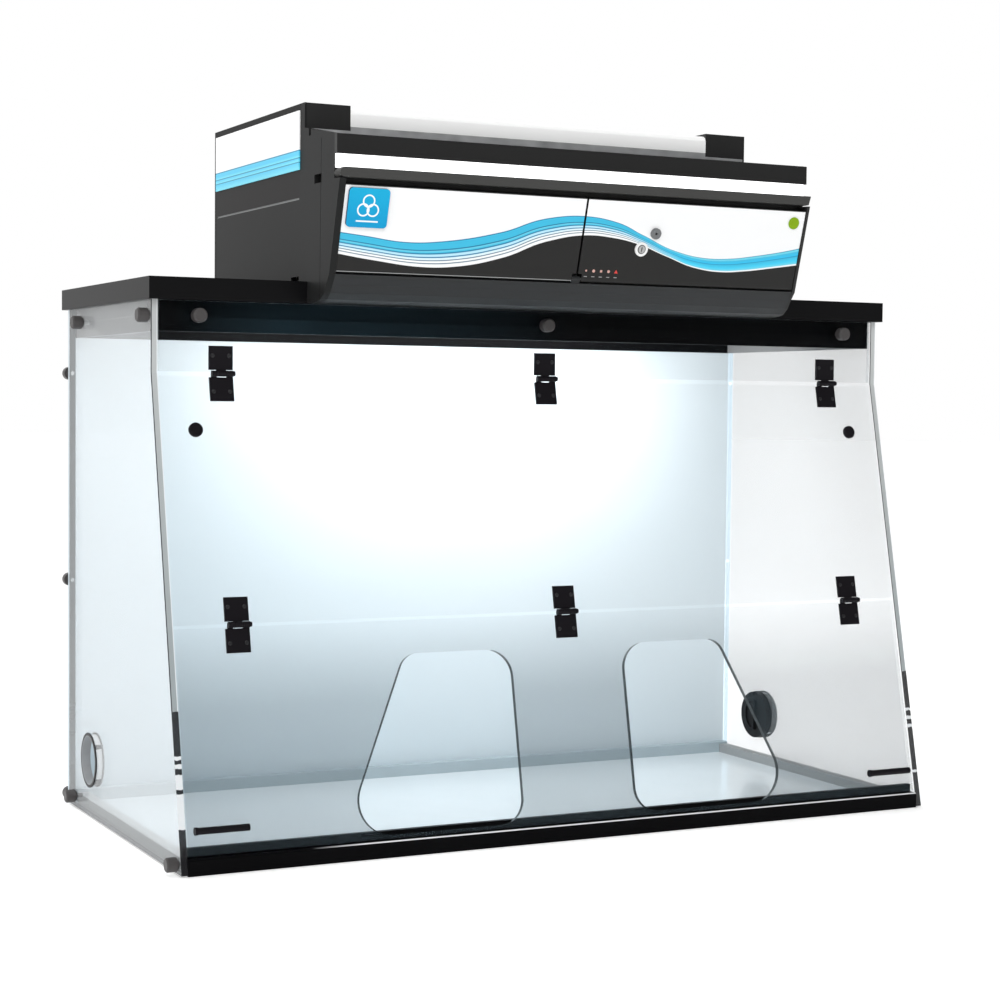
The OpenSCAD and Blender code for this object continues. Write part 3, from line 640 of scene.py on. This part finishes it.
casing = Graph("filter_casing")
lo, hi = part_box("left_filter")
deep = casing.band(casing.xyz["Z"], hi[2] - 0.06, hi[2] - 0.0005, 0.0005)
granule = casing.cells(260.0)
carbon = casing.product(deep, casing.face_toward(UPRIGHT))
black = casing.mix(granule, (0.05, 0.05, 0.05), (0.008, 0.008, 0.008))
case = casing.mix(casing.noise(20.0), (0.74, 0.75, 0.74), (0.82, 0.83, 0.82))
casing.set(color=casing.mix(carbon, case, black), rough=casing.mix_value(carbon, 0.45, 0.85))
casing.bump(granule, 0.25, 0.001)
paint(casing, "left_filter", "right_filter")

zinc = Graph("galvanised_sheet")
spangle = zinc.cells(45.0)
zinc.set(color=zinc.mix(spangle, (0.48, 0.49, 0.50), (0.66, 0.67, 0.68)),
         metal=1.0, rough=zinc.mix_value(spangle, 0.32, 0.55))
paint(zinc, "fan_deck", "motor_deck")
paint(moulded("motor_black", (0.02, 0.02, 0.022), 0.4, 700.0, 0.2, 0.2), "fan_motors")
paint(moulded("impeller_gray", (0.10, 0.11, 0.12), 0.45, 900.0, 0.12, 0.1),
      "left_impeller", "right_impeller")
paint(moulded("inlet_black", (0.012, 0.012, 0.013), 0.45, 900.0, 0.14, 0.2), "power_inlet")
paint(moulded("solder_mask", (0.012, 0.16, 0.06), 0.3, 400.0, 0.05, 0.2), "control_board")

# the light's board: a diode every 20 mm
DIODE_WAVE = 314.0
strip = Graph("led_board")
diode = strip.math("SINE", strip.product(strip.xyz["X"], DIODE_WAVE))
strip.set(color=(0.9, 0.9, 0.86), rough=0.4, glow_color=(1.0, 1.0, 1.0),
          glow=strip.product(strip.math("GREATER_THAN", diode, 0.6), 4.0))
paint(strip, "light_board")


# ---------------------------------------------------------------- small rounded edges

soften(0.0016, "top_plate", segments=3)
soften(0.0008, "base_front_rail", "base_rear_rail", "base_left_rail", "base_right_rail")
soften(0.0007, "back_panel", "header_front", "header_rear", "header_left", "header_right")
soften(0.0009, "head_right_plate", "right_cheek", "left_end_block", "right_end_block", "visor")
soften(0.0006, "side_decal_panel", "light_diffuser", "badge", "head_top_cover")
soften(0.0012, "side_knobs", "back_knobs", "header_knobs", "flap_knobs", angle=50.0)
soften(0.0005, "port_rings", "finger_grips", "power_inlet", angle=50.0)


# ---------------------------------------------------------------- small pieces

def lathe(name, profile, where, direction, segments=28):
    """Turned piece from (radius, height) pairs, standing on a point along a direction."""
    bm = bmesh.new()
    rings = []
    for r, h in profile:
        if r < 1e-7:
            rings.append([bm.verts.new((0.0, 0.0, h))])
        else:
            rings.append([bm.verts.new((r * math.cos(2 * math.pi * i / segments),
                                        r * math.sin(2 * math.pi * i / segments), h))
                          for i in range(segments)])
    for low, high in zip(rings, rings[1:]):
        for i in range(segments):
            j = (i + 1) % segments
            if len(low) == 1 and len(high) == 1:
                continue
            if len(low) == 1:
                bm.faces.new((low[0], high[j], high[i]))
            elif len(high) == 1:
                bm.faces.new((low[i], low[j], high[0]))
            else:
                bm.faces.new((low[i], low[j], high[j], high[i]))
    bmesh.ops.recalc_face_normals(bm, faces=bm.faces)
    turn = Vector((0.0, 0.0, 1.0)).rotation_difference(Vector(direction)).to_matrix().to_4x4()
    bm.transform(Matrix.Translation(Vector(where)) @ turn)
    return finish_mesh(name, bm)


def prism(name, outline, depth, origin, right, up):
    """Thin flat mark from an outline in metres, standing on a face."""
    bm = bmesh.new()
    out = Vector(right).cross(Vector(up))
    o = Vector(origin)
    pts = [o + Vector(right) * x + Vector(up) * y for x, y in outline]
    low = [bm.verts.new(p) for p in pts]
    high = [bm.verts.new(p + out * depth) for p in pts]
    n = len(pts)
    bm.faces.new(high)
    bm.faces.new(list(reversed(low)))
    for i in range(n):
        j = (i + 1) % n
        bm.faces.new((low[i], low[j], high[j], high[i]))
    bmesh.ops.recalc_face_normals(bm, faces=bm.faces)
    return finish_mesh(name, bm, smooth=False)


def finish_mesh(name, bm, smooth=True):
    mesh = bpy.data.meshes.new(name)
    bm.to_mesh(mesh)
    bm.free()
    obj = bpy.data.objects.new(name, mesh)
    bpy.context.scene.collection.objects.link(obj)
    for p in mesh.polygons:
        p.use_smooth = smooth
    if smooth:
        mesh.set_sharp_from_angle(angle=math.radians(40.0))
    return obj


def place(obj, graph, body):
    obj.data.materials.append(graph.mat)
    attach(obj, body)
    return obj


# outline of a screw's head, (radius, height) in metres
SCREW = [(0.0, 0.0002), (0.0011, 0.0002), (0.0013, 0.0011), (0.0024, 0.0011), (0.0030, 0.0007),
         (0.0031, 0.0), (0.0, -0.0002)]
screw_steel = brushed("screw_steel", (0.35, 0.35, 0.36), 0.35, (200.0, 200.0, 200.0))
screw_black = moulded("screw_black", (0.02, 0.02, 0.022), 0.3, 1500.0, 0.1, 0.2)


HINGE_X = (-0.53, 0.0, 0.53)
LEAF_SCREW_X = (-0.0125, 0.0125)    # to each side of a hinge's middle
LEAF_SCREW_REACH = 0.026            # from the hinge's axis to its screws
LEAF_FACE = -0.0018                 # the leaf's outer face, measured out from the axis


def hinge_screws(name, axis, up, out, sign, body):
    """Two screws in one leaf of each hinge, above the axis for sign 1, below for -1."""
    for i, x in enumerate(HINGE_X):
        for k, dx in enumerate(LEAF_SCREW_X):
            spot = (Vector((x + dx, axis.y, axis.z)) + up * (sign * LEAF_SCREW_REACH)
                    + out * LEAF_FACE)
            place(lathe(f"{name}_{i}{k}", SCREW, spot, out), screw_black, body)


hinge_screws("strip_leaf_screw", UPPER_AXIS, UPRIGHT, FRONT, 1.0, "cabinet")
hinge_screws("flap_top_screw", UPPER_AXIS, -DOWN, OUT, -1.0, "upper_sash")
hinge_screws("flap_foot_screw", LOWER_AXIS, -DOWN, OUT, 1.0, "upper_sash")
hinge_screws("lower_leaf_screw", LOWER_AXIS, -DOWN, OUT, -1.0, "lower_sash")

# screws of the head's back plate and top cover, and how far they sit from the edges
PLATE_INSET_X, PLATE_INSET_Z, COVER_INSET = 0.015, 0.012, 0.02
lo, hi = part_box("head_back_plate")
for i in range(5):
    for k, z in enumerate((lo[2] + PLATE_INSET_Z, hi[2] - PLATE_INSET_Z)):
        x = lo[0] + PLATE_INSET_X + (hi[0] - lo[0] - 2.0 * PLATE_INSET_X) * i / 4.0
        place(lathe(f"back_plate_screw_{i}{k}", SCREW, (x, hi[1], z), (0, 1, 0)),
              screw_steel, "cabinet")
lo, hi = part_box("head_top_cover")
for i, x in enumerate((lo[0] + COVER_INSET, (lo[0] + hi[0]) / 2.0, hi[0] - COVER_INSET)):
    place(lathe(f"cover_screw_{i}", SCREW, (x, hi[1] - COVER_INSET, hi[2]), (0, 0, 1)),
          screw_steel, "cabinet")


# row of small generic marks on the right door, each over a short bar
MARK_ROW, BAR_ROW = 0.0195, 0.0105
MARK_DEPTH = 0.0003


def on_door(x, up):
    return DOOR_FOOT + RIGHT * x + DOOR_UP * up


def ring_outline(r, n):
    """Regular polygon of n corners, standing on a flat side."""
    turns = [2 * math.pi * (i + 0.5) / n for i in range(n)]
    return [(r * math.cos(t), r * math.sin(t)) for t in turns]


def ink(name, dark, light):
    g = Graph(name)
    g.set(color=g.mix(g.noise(90.0), dark, light), rough=0.4)
    return g


pale_ink = ink("pale_ink", (0.55, 0.30, 0.26), (0.75, 0.45, 0.38))
red_ink = ink("red_ink", (0.60, 0.02, 0.015), (0.80, 0.05, 0.03))
gray_ink = ink("gray_ink", (0.30, 0.30, 0.30), (0.45, 0.45, 0.45))
TRIANGLE = [(-0.0032, -0.0024), (0.0032, -0.0024), (0.0, 0.0032)]
BAR = [(-0.0026, -0.0005), (0.0026, -0.0005), (0.0026, 0.0005), (-0.0026, 0.0005)]
marks = ((0.0165, ring_outline(0.0016, 12), pale_ink),
         (0.0295, ring_outline(0.0024, 18), pale_ink),
         (0.0425, ring_outline(0.0026, 4), pale_ink),
         (0.0555, ring_outline(0.0025, 6), pale_ink),
         (0.0685, TRIANGLE, red_ink))
for i, (x, outline, tint) in enumerate(marks):
    for piece, shape, row, graph in (("mark", outline, MARK_ROW, tint),
                                     ("bar", BAR, BAR_ROW, gray_ink)):
        place(prism(f"door_{piece}_{i}", shape, MARK_DEPTH, on_door(x, row), RIGHT, DOOR_UP),
              graph, "filter_door_right")


# ---------------------------------------------------------------- stage, light, camera

def stage_plane():
    """White floor disc, a hair below the part."""
    bm = bmesh.new()
    bmesh.ops.create_circle(bm, cap_ends=True, segments=96, radius=40.0)
    bm.transform(Matrix.Translation((0.0, 0.0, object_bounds()[0][2] - 0.0005)))
    floor = finish_mesh("floor", bm, smooth=False)
    g = Graph("floor_white")
    g.set(color=g.mix(g.noise(1.5), (0.90, 0.90, 0.90), (0.93, 0.93, 0.93)), rough=0.75,
          spec=0.1, glow_color=(1.0, 1.0, 1.0), glow=0.42)
    floor.data.materials.append(g.mat)


stage_plane()

# A white backdrop for the camera. The light it sheds is strongest from one side
# and falls to a little on the other.
SKY_SIDE = (-0.80, 0.45, 0.38)
SKY_SPAN = (-0.7, 0.9)
SKY_STRENGTH = (0.16, 1.02)
world = bpy.data.worlds.new("studio")
bpy.context.scene.world = world
world.use_nodes = True
tree = world.node_tree
sky = tree.nodes["Background"]
path = tree.nodes.new("ShaderNodeLightPath")
coord = tree.nodes.new("ShaderNodeTexCoord")
side_dot = tree.nodes.new("ShaderNodeVectorMath")
side_dot.operation = "DOT_PRODUCT"
side_dot.inputs[1].default_value = SKY_SIDE
tree.links.new(coord.outputs["Generated"], side_dot.inputs[0])
soft_sky = tree.nodes.new("ShaderNodeMapRange")
soft_sky.interpolation_type = "SMOOTHSTEP"
for end, at, strength in zip(("Min", "Max"), SKY_SPAN, SKY_STRENGTH):
    soft_sky.inputs[f"From {end}"].default_value = at
    soft_sky.inputs[f"To {end}"].default_value = strength
tree.links.new(side_dot.outputs["Value"], soft_sky.inputs["Value"])
seen = tree.nodes.new("ShaderNodeMix")
seen.data_type = "FLOAT"
seen.inputs[3].default_value = 1.0
tree.links.new(path.outputs["Is Camera Ray"], seen.inputs["Factor"])
tree.links.new(soft_sky.outputs[0], seen.inputs[2])
tree.links.new(seen.outputs[0], sky.inputs["Strength"])
sky.inputs["Color"].default_value = (1.0, 1.0, 1.0, 1.0)


def area(name, where, target, size, power, color=(1.0, 1.0, 1.0)):
    """Rectangular lamp at a place, turned to a target; power in watts."""
    data = bpy.data.lights.new(name, "AREA")
    data.shape = "RECTANGLE"
    data.size, data.size_y = size
    data.energy = power
    data.color = color
    obj = bpy.data.objects.new(name, data)
    obj.location = where
    obj.rotation_euler = (Vector(target) - Vector(where)).to_track_quat("-Z", "Y").to_euler()
    bpy.context.scene.collection.objects.link(obj)


area("key", (-1.4, -3.6, 3.2), (0.0, -0.2, 0.7), (2.0, 1.6), 58.0)
area("chamber", (0.05, -0.05, 0.74), (0.02, 0.32, 0.52), (0.8, 0.10), 4.2, (0.97, 0.99, 1.0))
area("rim", (0.0, 2.6, 2.6), (0.0, 0.0, 0.7), (2.6, 1.4), 22.0)

LENS_MM, SENSOR_MM = 75.02, 36.0
CAMERA_AT = (-1.51993, -3.03231, 0.65615)
YAW_DEG, PITCH_DEG, ROLL_DEG = 26.60, -2.62, 0.57
camera_data = bpy.data.cameras.new("camera")
camera_data.lens = LENS_MM
camera_data.sensor_width = SENSOR_MM
camera_data.clip_end = 200.0
camera = bpy.data.objects.new("camera", camera_data)
bpy.context.scene.collection.objects.link(camera)
yaw, pitch, roll = (math.radians(turn) for turn in (YAW_DEG, PITCH_DEG, ROLL_DEG))
forward = Vector((math.sin(yaw) * math.cos(pitch), math.cos(yaw) * math.cos(pitch),
                  math.sin(pitch)))
right = Vector((math.cos(yaw), -math.sin(yaw), 0.0))
up = right.cross(forward)
right, up = (right * math.cos(roll) + up * math.sin(roll),
             up * math.cos(roll) - right * math.sin(roll))
turn = Matrix((right, up, -forward)).transposed().to_4x4()
camera.matrix_world = Matrix.Translation(CAMERA_AT) @ turn
bpy.context.scene.camera = camera
bpy.context.scene.view_settings.view_transform = "Standard"
